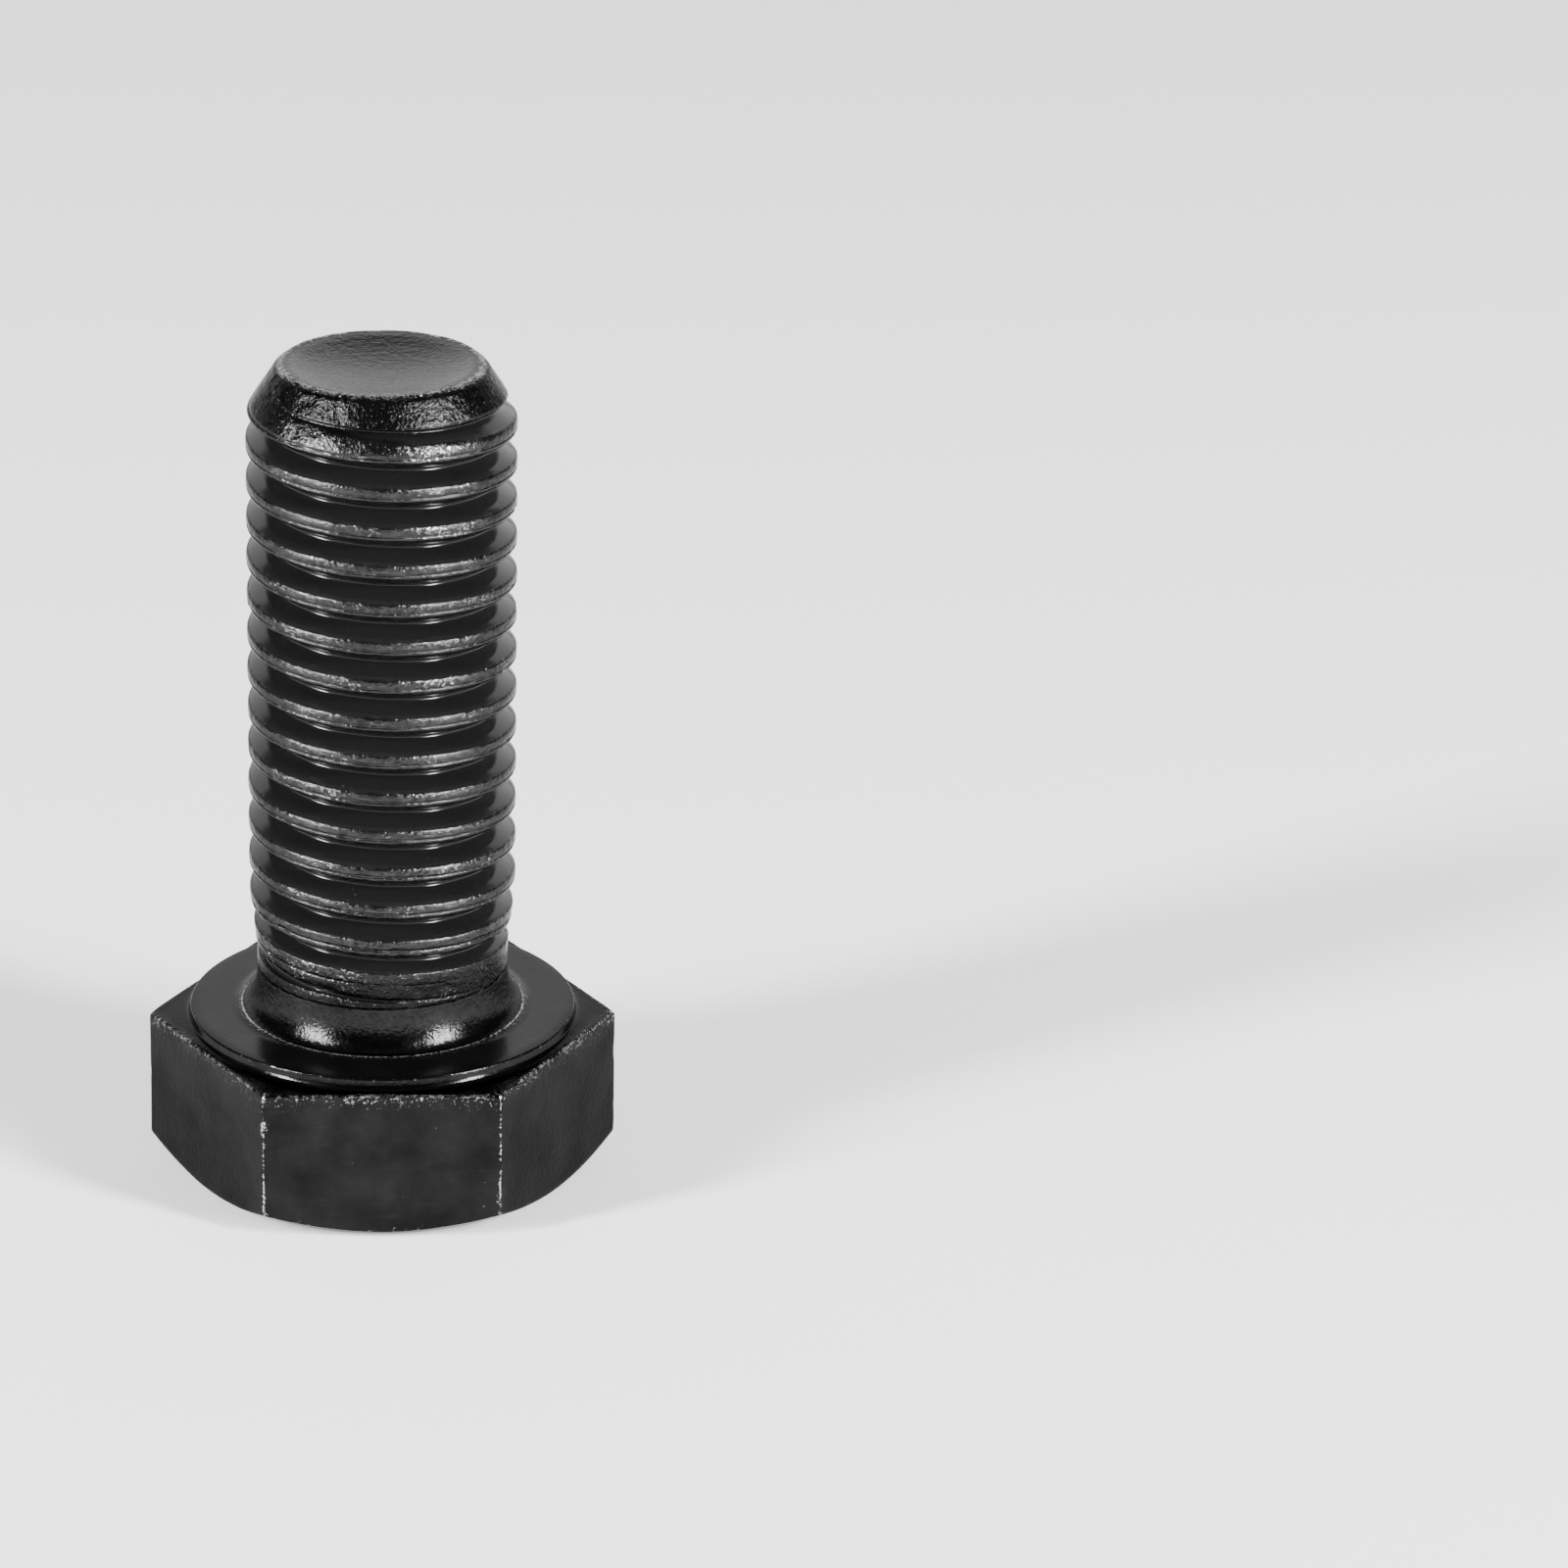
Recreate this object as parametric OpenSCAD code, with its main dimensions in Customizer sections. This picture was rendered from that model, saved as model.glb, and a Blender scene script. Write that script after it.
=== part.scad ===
// Hexagon head bolt, metric coarse left-hand thread, threaded up to the neck.
// One cold-forged blank with a rolled thread: a single solid.
// The centre of the bearing face is the origin, and +Z runs along the shank to its tip.
// One flat of the head faces -Y.

/* [Head] */
// Width of the head across its flats
across_flats = 18; // [16:0.1:24]
// Height of the head from the bearing face to its top
head_h = 7.5; // [5.5:0.1:12]
// Angle of the chamfer around the top of the head
head_chamfer_angle = 30; // [15:1:40]
// How much smaller the flat circle inside the chamfer is than the width across flats
head_top_inset = 1.2; // [0.4:0.1:3]
// Diameter of the shallow hollow in the top of the head
head_hollow_d = 9; // [4:0.1:12]
// Depth of that hollow
head_hollow_depth = 0.2; // [0.05:0.01:0.6]

/* [Washer face] */
// How much smaller the washer face is than the width across flats
washer_face_inset = 0.9; // [0.5:0.1:2]
// Height of the washer face below the hexagon
washer_face_h = 0.55; // [0.2:0.01:0.9]
// How far the washer face widens towards the hexagon, on its radius
washer_face_draft = 0.2; // [0:0.01:0.24]
// Width of the fillet between the washer face and the shank, on its radius
fillet_w = 0.7; // [0.3:0.01:1]
// Height of that fillet, which stands taller than it is wide
fillet_h = 1.8; // [0.5:0.05:2]

/* [Shank] */
// Length from the bearing face to the tip
shank_len = 30; // [16:0.5:60]
// How much thinner the plain neck is than the nominal thread: the size of the rolled blank
neck_undersize = 0.9; // [0.4:0.05:1.2]
// Distance from the bearing face to where the thread has run out
neck_len = 2.4; // [2.2:0.1:5]
// Length over which the thread fades into the neck
runout_len = 4.1; // [1:0.1:6]
// How much smaller the rim around the end is than the nominal thread
tip_rim_inset = 3; // [2.8:0.1:4.5]
// Length of the conical lead-in at the tip
tip_lead_len = 2.2; // [1.4:0.1:4]
// Radius that softens the corner between the lead-in and the rim
tip_edge_r = 0.2; // [0.05:0.01:0.25]
// Width of the rim around the dished end
tip_rim_w = 0.4; // [0.3:0.01:1]
// Depth of the dish in the end of the shank
tip_dish_depth = 0.6; // [0.1:0.01:1]

/* [Thread] */
// Nominal thread diameter
thread_d = 12; // [9:0.1:14.4]
// Axial distance from one turn to the next
thread_pitch = 1.75; // [1.4:0.05:2.1]
// Which way the thread winds
thread_hand = "left"; // [left, right]
// How far the crests stand below the nominal diameter, so that a nut runs on
thread_clearance = 0.15; // [0.04:0.01:0.3]
// Angle between the two flanks
flank_angle = 60; // [58:1:62]
// Width of the crest along the axis
crest_w = 0.28; // [0.22:0.01:0.3]
// How far before the end of the neck the ridge starts, hidden inside it
ridge_lead = 1.35; // [0.9:0.025:1.4]

/* [Hidden] */

// Exact curves need any value above 12; six sides make the hexagon
round_fn = 96;
steps_per_turn = 48;
arc_steps = 8;

crest_r = (thread_d - thread_clearance) / 2;
neck_r = (thread_d - neck_undersize) / 2;
tip_rim_r = (thread_d - tip_rim_inset) / 2;
washer_face_r = (across_flats - washer_face_inset) / 2;
head_top_r = (across_flats - head_top_inset) / 2;
corner_r = across_flats / 2 / cos(30);

// Thread section: the flanks meet the root at the depth the flank angle gives
flank_tan = tan(flank_angle / 2);
root_w = crest_w;
root_r = crest_r - (thread_pitch - crest_w - root_w) / 2 / flank_tan;
ridge_over = crest_w / 4;
ridge_under = root_w / 3;
ridge_start = neck_len - ridge_lead;
ridge_end = shank_len + thread_pitch;
ridge_turns = (ridge_end - ridge_start) / thread_pitch;
ridge_steps = ceil(ridge_turns * steps_per_turn);

runout_end = neck_len + runout_len;
lead_start = shank_len - tip_lead_len;

// Cone of the lead-in and the small round that joins it to the rim
function lead_in() = let (
    slope = atan((crest_r - tip_rim_r) / tip_lead_len),
    centre_r = tip_rim_r - tip_edge_r * tan((90 - slope) / 2)
) [
    [crest_r, lead_start],
    for (i = [0 : arc_steps])
        let (a = slope + (90 - slope) * i / arc_steps)
        [centre_r + tip_edge_r * cos(a), shank_len - tip_edge_r * (1 - sin(a))]
];

// Concave quarter ellipse of the fillet, from the shank down to the washer face
function fillet_arc() = [
    for (i = [0 : arc_steps])
        let (a = 90 * i / arc_steps)
        [neck_r + fillet_w * (1 - cos(a)), fillet_h * (1 - sin(a))]
];

// Dish in the end, a shallow bowl inside the rim
function dish_arc() = let (dish_r = tip_rim_r - tip_rim_w) [
    for (i = [0 : arc_steps])
        let (out = 1 - i / arc_steps)
        [dish_r * out, shank_len - tip_dish_depth * (1 - out * out)]
];

// Corners of the thread section at one step of the helix
function ridge_corner(step, r, dz) =
    let (a = 360 * step / steps_per_turn)
    [r * cos(a), r * sin(a), ridge_start + thread_pitch * step / steps_per_turn + dz];

// The thread's ridge as a right-hand helix, a little taller than its crest and sunk in the core
module ridge() {
    r_in = root_r - ridge_under;
    r_out = crest_r + ridge_over;
    half_in = crest_w / 2 + (crest_r - r_in) * flank_tan;
    half_out = crest_w / 2 - ridge_over * flank_tan;
    points = [
        for (i = [0 : ridge_steps])
            each [
                ridge_corner(i, r_in, -half_in),
                ridge_corner(i, r_out, -half_out),
                ridge_corner(i, r_out, half_out),
                ridge_corner(i, r_in, half_in)
            ]
    ];
    sides = [
        for (i = [0 : ridge_steps - 1], j = [0 : 3])
            let (
                a = 4 * i + j,
                b = 4 * i + (j + 1) % 4,
                c = a + 4,
                d = b + 4
            )
            each [[a, b, d], [a, d, c]]
    ];
    last = 4 * ridge_steps;
    ends = [[3, 2, 1, 0], [last, last + 1, last + 2, last + 3]];
    polyhedron(points = points, faces = concat(sides, ends), convexity = 10);
}

// Core at the bottom of the thread, rising to the neck where the thread runs out
module core() {
    rotate_extrude($fn = round_fn)
        polygon([
            [0, 0],
            [neck_r, 0],
            [neck_r, neck_len],
            [root_r, runout_end],
            [root_r, shank_len],
            [0, shank_len]
        ]);
}

// Outside shape of the shank: neck, run-out, crest cylinder, rounded lead-in and dished end
module shank_envelope() {
    rotate_extrude($fn = round_fn)
        polygon(concat(
            [[0, 0], [neck_r, 0], [neck_r, neck_len], [crest_r, runout_end]],
            lead_in(),
            dish_arc()
        ));
}

// Shank with its thread
module shank() {
    intersection() {
        shank_envelope();
        union() {
            core();
            if (thread_hand == "left") mirror([0, 1, 0]) ridge();
            else ridge();
        }
    }
}

// Fillet under the head
module fillet() {
    rotate_extrude($fn = round_fn)
        polygon(concat([[0, 0], [0, fillet_h]], fillet_arc()));
}

// Chamfered hexagon with the washer face on its underside
module head() {
    clear_r = corner_r + 1;
    chamfer_h = (clear_r - head_top_r) * tan(head_chamfer_angle);
    intersection() {
        translate([0, 0, -head_h])
            cylinder(r = corner_r, h = head_h - washer_face_h, $fn = 6);
        rotate_extrude($fn = round_fn)
            polygon([
                [0, -head_h + head_hollow_depth],
                [head_hollow_d / 2 - head_hollow_depth * 4, -head_h + head_hollow_depth],
                [head_hollow_d / 2, -head_h],
                [head_top_r, -head_h],
                [clear_r, -head_h + chamfer_h],
                [clear_r, 0],
                [0, 0]
            ]);
    }
    translate([0, 0, -washer_face_h])
        cylinder(
            r1 = washer_face_r + washer_face_draft,
            r2 = washer_face_r,
            h = washer_face_h,
            $fn = round_fn
        );
}

// The whole bolt, black oxide on alloy steel
module hex_bolt() {
    color([0.12, 0.12, 0.13])
        union() {
            head();
            fillet();
            shank();
        }
}

hex_bolt();
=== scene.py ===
import math

import bmesh
import bpy
from mathutils import Euler, Matrix, Vector, noise


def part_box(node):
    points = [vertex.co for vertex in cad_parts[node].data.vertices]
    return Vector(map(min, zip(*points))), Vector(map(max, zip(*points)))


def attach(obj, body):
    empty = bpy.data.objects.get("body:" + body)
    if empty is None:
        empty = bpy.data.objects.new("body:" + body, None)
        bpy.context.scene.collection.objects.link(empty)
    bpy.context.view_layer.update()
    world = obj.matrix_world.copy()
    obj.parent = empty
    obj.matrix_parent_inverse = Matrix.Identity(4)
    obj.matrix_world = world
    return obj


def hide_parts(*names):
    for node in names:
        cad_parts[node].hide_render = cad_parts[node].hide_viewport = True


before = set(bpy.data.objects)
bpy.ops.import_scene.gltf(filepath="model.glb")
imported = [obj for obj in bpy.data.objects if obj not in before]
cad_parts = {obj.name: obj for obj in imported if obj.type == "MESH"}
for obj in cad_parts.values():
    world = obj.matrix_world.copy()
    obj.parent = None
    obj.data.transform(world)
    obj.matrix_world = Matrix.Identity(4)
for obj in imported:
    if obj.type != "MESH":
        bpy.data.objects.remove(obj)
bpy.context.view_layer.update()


# ---------------------------------------------------------------------------
# Hex bolt: one cold-forged blank of alloy steel with a rolled left-hand thread.
# The head was upset and trimmed, the thread rolled up to the neck, and the whole
# bolt then blackened and oiled. Nothing is fitted to it, so it is one piece.
# ---------------------------------------------------------------------------
MM = 0.001

bolt_low, bolt_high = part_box("hex_bolt")
half_flats = bolt_high.y
head_h = -bolt_low.z
shank_len = bolt_high.z

washer_face_h = 0.55 * MM
washer_face_r = half_flats - 0.45 * MM
fillet_w = 0.7 * MM
fillet_h = 1.8 * MM
neck_r = 5.55 * MM
neck_len = 2.4 * MM
runout_len = 4.1 * MM
head_top_r = half_flats - 0.6 * MM
head_chamfer = math.tan(math.radians(30))
hollow_r = 4.5 * MM
hollow_depth = 0.2 * MM
corner_round = 0.2 * MM
rim_round = 0.12 * MM
corner_sag = 0.03 * MM
chamfer_edge = 0.06 * MM

pitch = 1.75 * MM
crest_r = 5.925 * MM
root_r = 4.95 * MM
ridge_start = 1.05 * MM
crest_half = 0.44 * MM
crest_drop = 0.22 * MM
crease_at = -0.12 * MM
crease_depth = 0.07 * MM
crease_w = 0.035 * MM
root_round = 0.05 * MM
limit_round = 0.06 * MM
cut_round = 0.03 * MM
flank_slope = 1 / math.tan(math.radians(30))

tip_lead_len = 2.2 * MM
tip_rim_r = 4.5 * MM
tip_edge = 0.2 * MM
dish_r = 4.1 * MM
dish_depth = 0.6 * MM
dish_lip = 0.03 * MM

# The thread's mesh is cut off here, and rings of the neck and the tip carry on from the cuts
neck_cut = 2.05 * MM
tip_cut = shank_len - 0.5 * MM

STEPS_PER_TURN = 160
HEAD_STEPS = 240
FILLET_RINGS = 14
DISH_RINGS = 14
SIDE_RINGS = 26
CHAMFER_RINGS = 8


def smooth(low, high, x):
    """0 below low, 1 above high, and an even S between them."""
    t = min(1, max(0, (x - low) / (high - low)))
    return t * t * (3 - 2 * t)


def across_thread(angle, z):
    """Distance along the axis from the middle of the nearest crest of the left-hand helix."""
    t = z - ridge_start + pitch * angle / (2 * math.pi)
    return (t + pitch / 2) % pitch - pitch / 2


def soft_least(a, b, soft):
    """The smaller of two lengths, with the corner between them rounded."""
    over = a - b
    return a - 0.5 * (over + math.sqrt(over**2 + 4 * soft**2))


def thread_radius(t):
    """Radius of the rolled thread at t along the axis from the middle of a crest."""
    side = abs(t)
    dome = crest_drop * (side / crest_half) ** 3
    shoulder = crest_half * math.sqrt(flank_slope * crest_half / (3 * crest_drop))
    if side > shoulder:
        dome = crest_drop * (shoulder / crest_half) ** 3 + flank_slope * (side - shoulder)
    return -soft_least(-root_r, dome - crest_r, root_round)


def lead_in_radius(z):
    """Radius of the cone that leads the thread in at the tip."""
    return tip_rim_r + (shank_len - z) * (crest_r - tip_rim_r) / tip_lead_len


def thread_limit(z):
    """Largest radius of the thread there: it rises from the neck and falls along the lead-in."""
    rising = neck_r + (crest_r - neck_r) * smooth(neck_len - 0.2 * MM, neck_len + runout_len, z)
    return soft_least(rising, lead_in_radius(z), limit_round)


def groove_fill(z):
    """How far the grooves are filled: wholly at the neck, and a little in the turn at the tip."""
    at_tip = 0.2 * smooth(shank_len - 2 * MM, shank_len - 1 * MM, z)
    at_neck = 1 - smooth(neck_len - 0.45 * MM, neck_len + 0.22 * runout_len, z)
    return (neck_r - root_r) * at_neck + (crest_r - root_r) * at_tip


def hex_radius(angle):
    """Distance from the axis to the outline of the hexagon, whose corners are rounded."""
    off_corner = abs((angle + math.pi / 6) % (math.pi / 3) - math.pi / 6)
    centre = (half_flats - corner_round) / math.cos(math.pi / 6)
    half_flat = (half_flats - corner_round) * math.tan(math.pi / 6)
    tangent = math.pi / 6 - math.atan(half_flat / half_flats)
    if off_corner < tangent:
        aside = centre * math.sin(off_corner)
        return centre * math.cos(off_corner) + math.sqrt(corner_round**2 - aside**2)
    return half_flats / math.cos(math.pi / 6 - off_corner)


def corner_nearness(angle, spread=4):
    """1 on a corner of the hexagon, falling to 0 over about that many degrees."""
    off_corner = abs((angle + math.pi / 6) % (math.pi / 3) - math.pi / 6)
    return math.exp(-((off_corner / math.radians(spread)) ** 2))


def crowd_to_corners(angle):
    """Moves evenly spread angles towards the corners of the hexagon, where the outline turns."""
    crowding = 0.78
    return angle - crowding / 6 * math.sin(6 * angle)


def extrude_ring(mesh, ring, place):
    """Extrudes a ring of edges and puts every new vertex at place(angle) = (radius, height)."""
    made = bmesh.ops.extrude_edge_only(mesh, edges=ring)["geom"]
    for v in made:
        if isinstance(v, bmesh.types.BMVert):
            angle = math.atan2(v.co.y, v.co.x)
            radius, height = place(angle)
            v.co = (radius * math.cos(angle), radius * math.sin(angle), height)
    return [e for e in made if isinstance(e, bmesh.types.BMEdge)]


def open_ring(mesh, height):
    """The open edges of a mesh at that height."""
    near = 0.001 * MM
    return [
        e for e in mesh.edges
        if e.is_boundary and all(abs(v.co.z - height) < near for v in e.verts)
    ]


def close_ring(mesh, ring, height):
    """Closes a small ring of edges by merging it to one point on the axis."""
    around = list({v for e in ring for v in e.verts})
    bmesh.ops.pointmerge(mesh, verts=around, merge_co=(0, 0, height))


bolt = bmesh.new()

# Thread: one section of the rolled profile, spun as a left-hand helix past both its ends
crest_stations = [crest_half * i / 6 for i in range(-6, 7)]
crease_stations = [crease_at + crease_w * i for i in (-1, 1)]
flank_stations = [s * (crest_half + 0.13 * MM * i) for s in (-1, 1) for i in (1, 2.2)]
root_stations = [s * pitch * share for s in (-1, 1) for share in (0.43, 0.465)]
ends = [-pitch / 2, pitch / 2]
stations = sorted(crest_stations + crease_stations + flank_stations + root_stations + ends)
section = [bolt.verts.new((thread_radius(t), 0, ridge_start + t)) for t in stations]
section_edges = [bolt.edges.new(pair) for pair in zip(section, section[1:])]
bmesh.ops.spin(
    bolt,
    geom=section + section_edges,
    cent=(0, 0, 0),
    axis=(0, 0, 1),
    dvec=(0, 0, pitch / STEPS_PER_TURN),
    angle=-2 * math.pi,
    steps=STEPS_PER_TURN,
)
one_turn = bolt.verts[:] + bolt.edges[:] + bolt.faces[:]
for turn in range(1, math.ceil(shank_len / pitch) + 1):
    copy = bmesh.ops.duplicate(bolt, geom=one_turn)["geom"]
    copied = [v for v in copy if isinstance(v, bmesh.types.BMVert)]
    bmesh.ops.translate(bolt, verts=copied, vec=(0, 0, turn * pitch))
bmesh.ops.remove_doubles(bolt, verts=bolt.verts, dist=0.008 * MM)

# The grooves fill up towards the neck and the tip, the crests are cut down with them, and a
# crease runs along each crest where the rolled metal met from both sides
for v in bolt.verts:
    angle, z = math.atan2(v.co.y, v.co.x), v.co.z
    t = across_thread(angle, z)
    radius = soft_least(thread_radius(t) + groove_fill(z), thread_limit(z), cut_round)
    creased = smooth(neck_len + 0.3 * MM, neck_len + 1.2 * MM, z)
    creased *= smooth(shank_len - 1 * MM, shank_len - 2 * MM, z)
    radius -= crease_depth * creased * math.exp(-(((t - crease_at) / crease_w) ** 2))
    v.co.x, v.co.y = radius * math.cos(angle), radius * math.sin(angle)

for height, outward in ((neck_cut, (0, 0, -1)), (tip_cut, (0, 0, 1))):
    bmesh.ops.bisect_plane(
        bolt,
        geom=bolt.verts[:] + bolt.edges[:] + bolt.faces[:],
        plane_co=(0, 0, height),
        plane_no=outward,
        dist=0.0005 * MM,
        clear_outer=True,
    )

# Tip: the top of the lead-in, a blunt rim, and the dish that rolling leaves in the end
ring = open_ring(bolt, tip_cut)
for below_tip in (0.4, 0.3, 0.22):
    z = shank_len - below_tip * MM
    ring = extrude_ring(bolt, ring, lambda a, z=z: (lead_in_radius(z), z))
for turn in (30, 50, 70, 90):
    a = math.radians(turn)
    r = tip_rim_r + 0.05 * MM - tip_edge * (1 - math.cos(a))
    z = shank_len - tip_edge * (1 - math.sin(a))
    ring = extrude_ring(bolt, ring, lambda a, r=r, z=z: (r, z))
for i in range(DISH_RINGS):
    share = 1 - i / DISH_RINGS
    r = dish_r * share
    z = shank_len - dish_lip - dish_depth * (1 - share**2)
    ring = extrude_ring(bolt, ring, lambda a, r=r, z=z: (r, z))
close_ring(bolt, ring, shank_len - dish_depth)

# Neck and fillet, which ends in a small step above the washer face
neck_ring_place = Matrix.Translation((0, 0, neck_cut - 0.12 * MM))
neck_ring = bmesh.ops.create_circle(bolt, segments=HEAD_STEPS, radius=neck_r, matrix=neck_ring_place)
ring = list({e for v in neck_ring["verts"] for e in v.link_edges})
bmesh.ops.bridge_loops(bolt, edges=open_ring(bolt, neck_cut) + ring)
fillet_step = 0.04 * MM
for i in range(FILLET_RINGS):
    a = math.radians(82 * i / (FILLET_RINGS - 1))
    r, z = neck_r + fillet_w * (1 - math.cos(a)), fillet_h * (1 - math.sin(a))
    z += fillet_step * (1 - z / fillet_h)
    ring = extrude_ring(bolt, ring, lambda a, r=r, z=z: (r, z))
fillet_edge_w = 0.04 * MM
fillet_end = neck_r + fillet_w + fillet_edge_w
for inset, up in ((0.08, 0.055), (0.03, 0.04), (0, 0.006)):
    r, z = fillet_end - inset * MM, up * MM
    ring = extrude_ring(bolt, ring, lambda a, r=r, z=z: (r, z))

# Washer face, its rounded edge and steep wall, and the cove at the foot of the wall
for i in range(1, 6):
    r = fillet_end + 0.03 * MM + (washer_face_r - 0.15 * MM - fillet_end) * i / 5
    ring = extrude_ring(bolt, ring, lambda a, r=r: (r, 0))
rounded_edge = ((0.04, 0.008), (0.08, 0.03), (0.105, 0.07), (0.118, 0.13))
wall_and_cove = ((0.15, 0.33), (0.19, 0.43), (0.27, 0.51), (0.38, 0.54), (0.5, 0.55))
for out, down in rounded_edge + wall_and_cove:
    r, z = washer_face_r + (out - 0.12) * MM, -down * MM
    ring = extrude_ring(bolt, ring, lambda a, r=r, z=z: (r, z))
for v in {v for e in ring for v in e.verts}:
    angle = math.atan2(v.co.y, v.co.x)
    v.co = Matrix.Rotation(crowd_to_corners(angle) - angle, 3, "Z") @ v.co
cove_r = washer_face_r + 0.38 * MM


def rim_fall(angle):
    """How far the rim of the hexagon is rounded over, more so at its corners."""
    return rim_round * (1 + 0.5 * corner_nearness(angle, 2))


# Hexagon: its underside around the washer face, and the rounded rim, which sags at the corners
under = -washer_face_h
for share in (0.25, 0.5, 0.75, 1):
    def underside(a, share=share):
        edge = hex_radius(a) - rim_fall(a)
        return cove_r + (edge - cove_r) * share, under - corner_sag * corner_nearness(a) * share
    ring = extrude_ring(bolt, ring, underside)
for turn in (22, 45, 68, 90):
    def rim(a, turn=math.radians(turn)):
        fall = rim_fall(a)
        height = under - fall * (1 - math.cos(turn)) - corner_sag * corner_nearness(a)
        return hex_radius(a) - fall * (1 - math.sin(turn)), height
    ring = extrude_ring(bolt, ring, rim)


def chamfer_height(radius):
    """Height of the 30 degree chamfer at that radius."""
    return -head_h + (radius - head_top_r) * head_chamfer


# Six flats, the chamfer that cuts them off in arcs, and the head's top with its shallow hollow
for i in range(1, SIDE_RINGS + 1):
    def side(a, share=i / SIDE_RINGS):
        top = under - rim_fall(a) - corner_sag * corner_nearness(a)
        bottom = chamfer_height(hex_radius(a)) + 0.05 * MM
        return hex_radius(a), top + (bottom - top) * share
    ring = extrude_ring(bolt, ring, side)
for inset, lift in ((0.012 * MM, 0.01 * MM), (chamfer_edge, 0)):
    def blunt_edge(a, inset=inset, lift=lift):
        r = hex_radius(a) - inset
        return r, chamfer_height(r) + lift
    ring = extrude_ring(bolt, ring, blunt_edge)
for i in range(1, CHAMFER_RINGS + 1):
    def chamfer(a, share=i / CHAMFER_RINGS):
        edge = hex_radius(a) - chamfer_edge
        r = edge + (head_top_r + 0.05 * MM - edge) * share
        return r, chamfer_height(r)
    ring = extrude_ring(bolt, ring, chamfer)
flat_r = head_top_r - 0.1 * MM
for i in range(12):
    r = flat_r - (flat_r - hollow_r) * i / 11
    ring = extrude_ring(bolt, ring, lambda a, r=r: (r, -head_h))
hollow_slope_w = 1.0 * MM
for i in range(1, 7):
    r = hollow_r - hollow_slope_w * i / 6
    z = -head_h + hollow_depth * smooth(0, 1, i / 6)
    ring = extrude_ring(bolt, ring, lambda a, r=r, z=z: (r, z))
for i in range(1, 9):
    r = (hollow_r - hollow_slope_w) * (1 - i / 9)
    ring = extrude_ring(bolt, ring, lambda a, r=r: (r, -head_h + hollow_depth))
close_ring(bolt, ring, -head_h + hollow_depth)
bmesh.ops.recalc_face_normals(bolt, faces=bolt.faces)
bolt.normal_update()


def lumps(place, size, seed):
    """Smooth noise from 0 to 1 with lumps of that size in metres."""
    return 0.5 + 0.5 * noise.noise(place / size + Vector((seed, 0, 0)))


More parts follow.
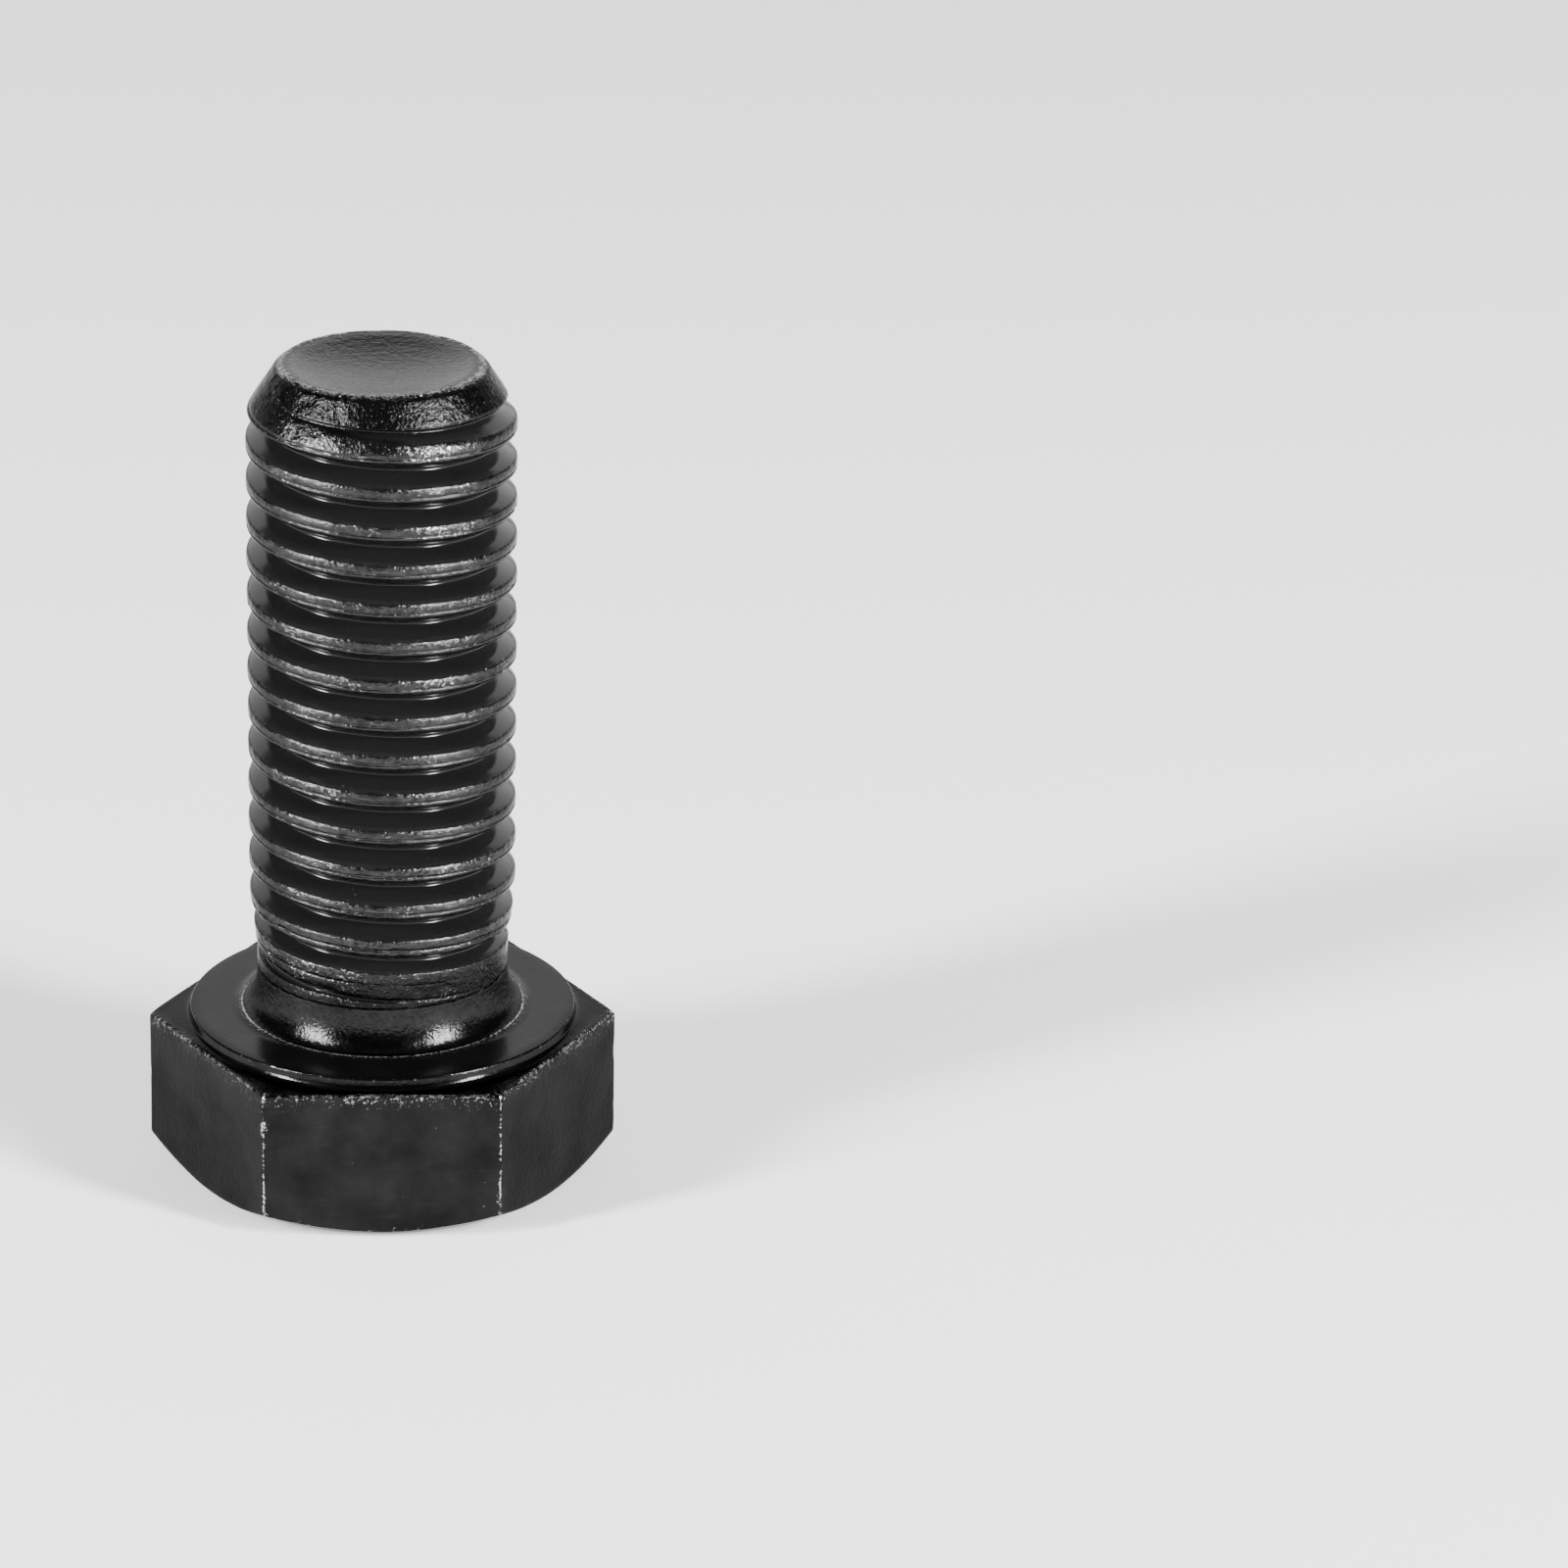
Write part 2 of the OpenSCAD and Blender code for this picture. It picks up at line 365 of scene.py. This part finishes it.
# Forging marks, uneven crests and knocked edges, always inwards so that the sizes hold.
# wear marks where bare metal may show, and also bare metal painted as highlights on the tip's rim
# and the fillet's foot;
# burnish where the rolling dies rubbed the crests, skin how crackled the surface is, and film how
# much dry oil and dust it holds
wear_and_highlight = bolt.verts.layers.float.new("wear_and_highlight")
burnish = bolt.verts.layers.float.new("burnish")
skin = bolt.verts.layers.float.new("skin")
film = bolt.verts.layers.float.new("film")
moves = []
for v in bolt.verts:
    radius, angle, z = math.hypot(v.co.x, v.co.y), math.atan2(v.co.y, v.co.x), v.co.z
    worn_and_highlit, rubbed, crackled, dusty = 0, 0, 0.4, 0
    if z < under + 0.02 * MM:
        edge = hex_radius(angle)
        inset = edge - radius
        at_side = smooth(0.5 * MM, 0.1 * MM, inset)
        below_rim = under - z
        knocked = lumps(v.co, 0.9 * MM, 21)
        line_spread = 0.45 + 1.1 * smooth(0.6, 0.8, lumps(v.co, 0.9 * MM, 31))
        line = corner_nearness(angle, line_spread) * at_side
        rim_line = smooth(0.2 * MM, 0.04 * MM, below_rim) * smooth(0.16 * MM, 0.02 * MM, inset)
        off_chamfer = abs(z - chamfer_height(edge))
        low_line = smooth(0.12 * MM, 0.02 * MM, off_chamfer) * smooth(0.2 * MM, 0.02 * MM, inset)
        pitted = smooth(1.1 * MM, 0.2 * MM, below_rim) * at_side
        worn_and_highlit = max(
            line * (0.15 + 0.75 * knocked + 0.35 * lumps(v.co, 7 * MM, 61)),
            line * smooth(0.5 * MM, 0.1 * MM, below_rim),
            rim_line * (0.45 + 0.45 * knocked),
            0.35 * low_line,
            (0.2 + 0.26 * lumps(v.co, 1.3 * MM, 41)) * pitted,
        )
        crackled = 0.3 + 0.5 * pitted
        near_edge = smooth(edge - 1 * MM, edge, radius)
        dent = 0.035 * MM * lumps(v.co, 2.5 * MM, 3) * (0.3 + 0.7 * near_edge)
        dent += 0.05 * MM * line * smooth(0.5, 0.8, knocked)
    elif z > neck_cut:
        crown = smooth(-0.15 * MM, -0.05 * MM, radius - thread_limit(z))
        at_rim = smooth(shank_len - 0.3 * MM, shank_len - 0.06 * MM, z)
        in_dish = smooth(tip_rim_r - 0.2 * MM, dish_r - 0.2 * MM, radius)
        in_dish *= smooth(shank_len - 0.9 * MM, shank_len - 0.7 * MM, z)
        on_lead = smooth(shank_len - 2.0 * MM, shank_len - 1.2 * MM, z) * (1 - in_dish)
        past_neck = smooth(neck_len + 0.2 * MM, neck_len + 1.6 * MM, z)
        rubbed = crown * (1 - 0.8 * on_lead) * (1 - in_dish) * past_neck
        crackled = max(0.04, 1.35 * crown, on_lead, 0.9 * in_dish)
        dusty = max(1 - crown - on_lead, 0.8 * in_dish)
        knocked = lumps(v.co, 0.5 * MM, 12)
        # The rim at the tip: real nicks of bare metal, and more bare metal as a painted highlight,
        # the bright line that light from above puts along the rim
        on_rim = at_rim * smooth(dish_r - 0.1 * MM, dish_r + 0.15 * MM, radius)
        rubbed = max(rubbed, on_rim)
        worn_and_highlit = max(
            crown * (0.12 + 0.3 * smooth(0.45, 0.8, lumps(v.co, 1.5 * MM, 51))),
            on_rim * (0.4 + 0.55 * knocked),
        )
        dent = 0.02 * MM * lumps(v.co, 1.6 * MM, 5)
        dent += 0.05 * MM * crown * smooth(0.62, 0.85, knocked)
        dent += 0.1 * MM * at_rim * lumps(v.co, 2.2 * MM, 17) * (1 - in_dish)
    else:
        dent = 0.012 * MM * lumps(v.co, 2 * MM, 7)
        washer_edge = smooth(0.2 * MM, 0, abs(radius - washer_face_r)) * smooth(-0.3 * MM, 0, z)
        # Along the small step at the foot of the fillet: bare metal that is partly wear and partly a
        # painted highlight, the bright line this edge catches
        fillet_edge = smooth(0.08 * MM, 0, abs(radius - fillet_end + 0.04 * MM))
        worn_and_highlit = max(0.3 * washer_edge, 0.85 * fillet_edge)
        on_fillet = smooth(fillet_end + 0.05 * MM, fillet_end - 0.05 * MM, radius)
        crackled = max(0.15, 0.55 * on_fillet, 0.5 * washer_edge)
        rubbed = 0.25 * on_fillet
        on_face = smooth(-0.2 * MM, -0.05 * MM, z)
        dusty = 0.35 * (1 - on_fillet) * (1 - washer_edge) * on_face
    v[wear_and_highlight], v[burnish], v[skin], v[film] = worn_and_highlit, rubbed, crackled, max(0, dusty)
    moves.append((v, v.normal * -dent))
for v, move in moves:
    v.co += move
for f in bolt.faces:
    f.smooth = True

bolt_mesh = bpy.data.meshes.new("forged_bolt")
bolt.to_mesh(bolt_mesh)
bolt.free()
forged_bolt = bpy.data.objects.new("forged_bolt", bolt_mesh)
bpy.context.scene.collection.objects.link(forged_bolt)


def linear(hex_colour):
    """An sRGB hex colour as linear RGBA."""
    parts = [int(hex_colour[i : i + 2], 16) / 255 for i in (1, 3, 5)]
    return [c / 12.92 if c <= 0.04045 else ((c + 0.055) / 1.055) ** 2.4 for c in parts] + [1]


def add_node(tree, kind, settings=None, **inputs):
    """Adds a node, sets its properties, and sets or links each input, by name or as i0, i1."""
    node = tree.nodes.new(kind)
    for name, value in (settings or {}).items():
        setattr(node, name, value)
    for name, value in inputs.items():
        by_place = name[0] == "i" and name[1:].isdigit()
        socket = node.inputs[int(name[1:]) if by_place else name.replace("_", " ")]
        if isinstance(value, bpy.types.NodeSocket):
            tree.links.new(value, socket)
        else:
            socket.default_value = value
    return node


def blackened_steel():
    """Black oxide on forged and rolled steel, oiled: near black and glossy in the grooves, a
    crackled grey sheen on the crests and the fillet, bare metal at knocked edges, and bare metal
    painted as highlights on the tip's rim and the fillet's foot."""
    material = bpy.data.materials.new("black_oxide_alloy_steel")
    material.use_nodes = True
    tree = material.node_tree
    shader = tree.nodes["Principled BSDF"]
    clamped = {"clamp": True}
    colours = {"data_type": "RGBA"}
    multiply = {"operation": "MULTIPLY"}
    multiply_add = {"operation": "MULTIPLY_ADD"}

    place = add_node(tree, "ShaderNodeTexCoord").outputs["Object"]
    worn_and_highlit = add_node(tree, "ShaderNodeAttribute", {"attribute_name": "wear_and_highlight"}).outputs["Fac"]
    rubbed = add_node(tree, "ShaderNodeAttribute", {"attribute_name": "burnish"}).outputs["Fac"]
    crackled = add_node(tree, "ShaderNodeAttribute", {"attribute_name": "skin"}).outputs["Fac"]
    dusty = add_node(tree, "ShaderNodeAttribute", {"attribute_name": "film"}).outputs["Fac"]

    # Clouds of thicker and thinner oxide a few millimetres across
    clouds = add_node(
        tree, "ShaderNodeTexNoise", Vector=place, Scale=1 / (2.4 * MM), Detail=5.0, Roughness=0.6
    ).outputs["Fac"]
    # Grain of the forged skin, a quarter of a millimetre
    grain = add_node(
        tree, "ShaderNodeTexNoise", Vector=place, Scale=1 / (0.26 * MM), Detail=3.0, Roughness=0.65
    ).outputs["Fac"]
    # Speckle of the oxide crystals, drawn at a tenth of a millimetre so that it shows
    speckle = add_node(
        tree, "ShaderNodeTexNoise", Vector=place, Scale=1 / (0.11 * MM), Detail=2.0, Roughness=0.6
    ).outputs["Fac"]
    # Short scratches, from noise drawn out across the flats
    drawn_out = add_node(
        tree, "ShaderNodeMapping", Vector=place, Rotation=(0.3, 0.2, 0.5), Scale=(1, 1, 9)
    ).outputs["Vector"]
    scratches = add_node(
        tree, "ShaderNodeTexNoise", Vector=drawn_out, Scale=1 / (1.6 * MM), Detail=4.0, Roughness=0.7
    ).outputs["Fac"]

    # Oxide with faint scuffs, under the dusty film
    oxide = add_node(tree, "ShaderNodeValToRGB", Fac=clouds)
    oxide.color_ramp.elements[0].position = 0.35
    oxide.color_ramp.elements[0].color = linear("#171717")
    oxide.color_ramp.elements[1].position = 0.7
    oxide.color_ramp.elements[1].color = linear("#242424")
    scuffed = add_node(
        tree, "ShaderNodeMapRange", clamped,
        Value=scratches, From_Min=0.55, From_Max=0.75, To_Min=0.0, To_Max=0.2,
    ).outputs["Result"]
    oxide_scuffed = add_node(
        tree, "ShaderNodeMix", colours, i0=scuffed, i6=oxide.outputs["Color"], i7=linear("#333333")
    ).outputs[2]
    oxide_filmed = add_node(
        tree, "ShaderNodeMix", colours, i0=dusty, i6=oxide_scuffed, i7=linear("#161616")
    ).outputs[2]

    # Rubbed crests: a grey sheen broken up by the grain
    sheen_break = add_node(
        tree, "ShaderNodeMapRange", clamped,
        Value=grain, From_Min=0.36, From_Max=0.62, To_Min=0.25, To_Max=1.0,
    ).outputs["Result"]
    sheen_share = add_node(tree, "ShaderNodeMath", multiply, i0=rubbed, i1=sheen_break).outputs[0]
    crest_colour = add_node(
        tree, "ShaderNodeMix", colours, i0=sheen_share, i6=oxide_filmed, i7=linear("#393939")
    ).outputs[2]

    # Bare metal where edges were knocked, and bare metal painted as highlights on the tip's rim and
    # the fillet's foot, broken up by the grain and the speckle
    both = add_node(tree, "ShaderNodeMath", multiply_add, i0=grain, i1=0.5, i2=speckle).outputs[0]
    nick_and_highlight = add_node(tree, "ShaderNodeMath", multiply_add, i0=worn_and_highlit, i1=0.6, i2=both).outputs[0]
    bare_and_highlight = add_node(
        tree, "ShaderNodeMapRange", clamped,
        Value=nick_and_highlight, From_Min=1.04, From_Max=1.3, To_Min=0.0, To_Max=0.9,
    ).outputs["Result"]
    colour = add_node(
        tree, "ShaderNodeMix", colours, i0=bare_and_highlight, i6=crest_colour, i7=linear("#b8b8b8")
    ).outputs[2]
    tree.links.new(colour, shader.inputs["Base Color"])

    # Oiled gloss, duller in some of the clouds and where the skin is crackled
    gloss = add_node(
        tree, "ShaderNodeMapRange", clamped,
        Value=clouds, From_Min=0.3, From_Max=0.7, To_Min=0.12, To_Max=0.19,
    ).outputs["Result"]
    rough = add_node(tree, "ShaderNodeMath", multiply_add, i0=crackled, i1=0.04, i2=gloss).outputs[0]
    tree.links.new(rough, shader.inputs["Roughness"])
    # The dusty film hides part of the metal
    metal = add_node(tree, "ShaderNodeMath", multiply_add, i0=dusty, i1=-0.55, i2=1.0).outputs[0]
    tree.links.new(metal, shader.inputs["Metallic"])
    shader.inputs["Specular Tint"].default_value = (0.6, 0.6, 0.6, 1)

    # Relief of the grain, with the speckle on top of it
    relief = add_node(tree, "ShaderNodeMath", multiply, i0=grain, i1=crackled).outputs[0]
    coarse = add_node(tree, "ShaderNodeBump", Strength=0.8, Distance=0.06 * MM, Height=relief)
    fine_relief = add_node(tree, "ShaderNodeMath", multiply, i0=speckle, i1=crackled).outputs[0]
    fine = add_node(
        tree, "ShaderNodeBump",
        Strength=0.8, Distance=0.02 * MM, Height=fine_relief, Normal=coarse.outputs["Normal"],
    )
    tree.links.new(fine.outputs["Normal"], shader.inputs["Normal"])
    return material


forged_bolt.data.materials.append(blackened_steel())
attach(forged_bolt, "root")
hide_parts("hex_bolt")


# ---------------------------------------------------------------------------
# Studio: a plain pale floor, a tall softbox on either side of the camera, a broad glow
# from behind and a weak one from overhead. The bolt stands on its head.
# ---------------------------------------------------------------------------
floor_mesh = bmesh.new()
floor_place = Matrix.Translation((0, 0, -head_h))
bmesh.ops.create_grid(floor_mesh, x_segments=1, y_segments=1, size=4.0, matrix=floor_place)
floor_data = bpy.data.meshes.new("floor")
floor_mesh.to_mesh(floor_data)
floor_mesh.free()
floor = bpy.data.objects.new("floor", floor_data)
bpy.context.scene.collection.objects.link(floor)
paper = bpy.data.materials.new("matt_white_paper")
paper.use_nodes = True
paper_shader = paper.node_tree.nodes["Principled BSDF"]
paper_shader.inputs["Base Color"].default_value = linear("#f4f4f4")
paper_shader.inputs["Roughness"].default_value = 0.9
floor.data.materials.append(paper)


def softbox(name, azimuth, elevation, distance, width, height, power):
    """An area light that faces the bolt, with sizes in metres and its power in watts.
    Azimuth 0 is on the -Y side, and a growing azimuth turns towards +X."""
    lamp = bpy.data.lights.new(name, "AREA")
    lamp.shape = "RECTANGLE"
    lamp.size, lamp.size_y, lamp.energy = width, height, power
    lit = bpy.data.objects.new(name, lamp)
    a, e = math.radians(azimuth), math.radians(elevation)
    away = Vector((math.sin(a) * math.cos(e), -math.cos(a) * math.cos(e), math.sin(e)))
    lit.location = away * distance + Vector((0, 0, 10 * MM))
    lit.rotation_euler = (-away).to_track_quat("-Z", "Y").to_euler()
    bpy.context.scene.collection.objects.link(lit)


softbox("left_softbox", -60, 20, 0.55, 0.08, 0.3, 12.0)
softbox("right_softbox", 54, 20, 0.55, 0.08, 0.3, 13.5)
softbox("backdrop_glow", 180, 22, 1.1, 2.2, 0.8, 9.5)
softbox("overhead", 0, 88, 0.9, 1.4, 1.4, 1.0)

world = bpy.data.worlds.new("studio_air")
world.use_nodes = True
air = world.node_tree.nodes["Background"]
air.inputs["Color"].default_value = linear("#ffffff")
air.inputs["Strength"].default_value = 0.18
bpy.context.scene.world = world

# Camera: a long lens a third of a metre away, looking down a little, tilted by a degree
camera_data = bpy.data.cameras.new("camera")
camera_data.sensor_width = 36
camera_data.lens = 171
camera_drop = math.radians(22.18)
camera_turn = math.radians(-3.08)
camera_tilt = math.radians(1.15)
camera = bpy.data.objects.new("camera", camera_data)
camera.location = (1.35 * MM, -303.8 * MM, 134.4 * MM)
look = Euler((math.pi / 2 - camera_drop, 0, camera_turn)).to_matrix()
camera.rotation_euler = (look @ Matrix.Rotation(camera_tilt, 3, "Z")).to_euler()
camera_data.clip_start, camera_data.clip_end = 0.01, 20
bpy.context.scene.collection.objects.link(camera)
bpy.context.scene.camera = camera
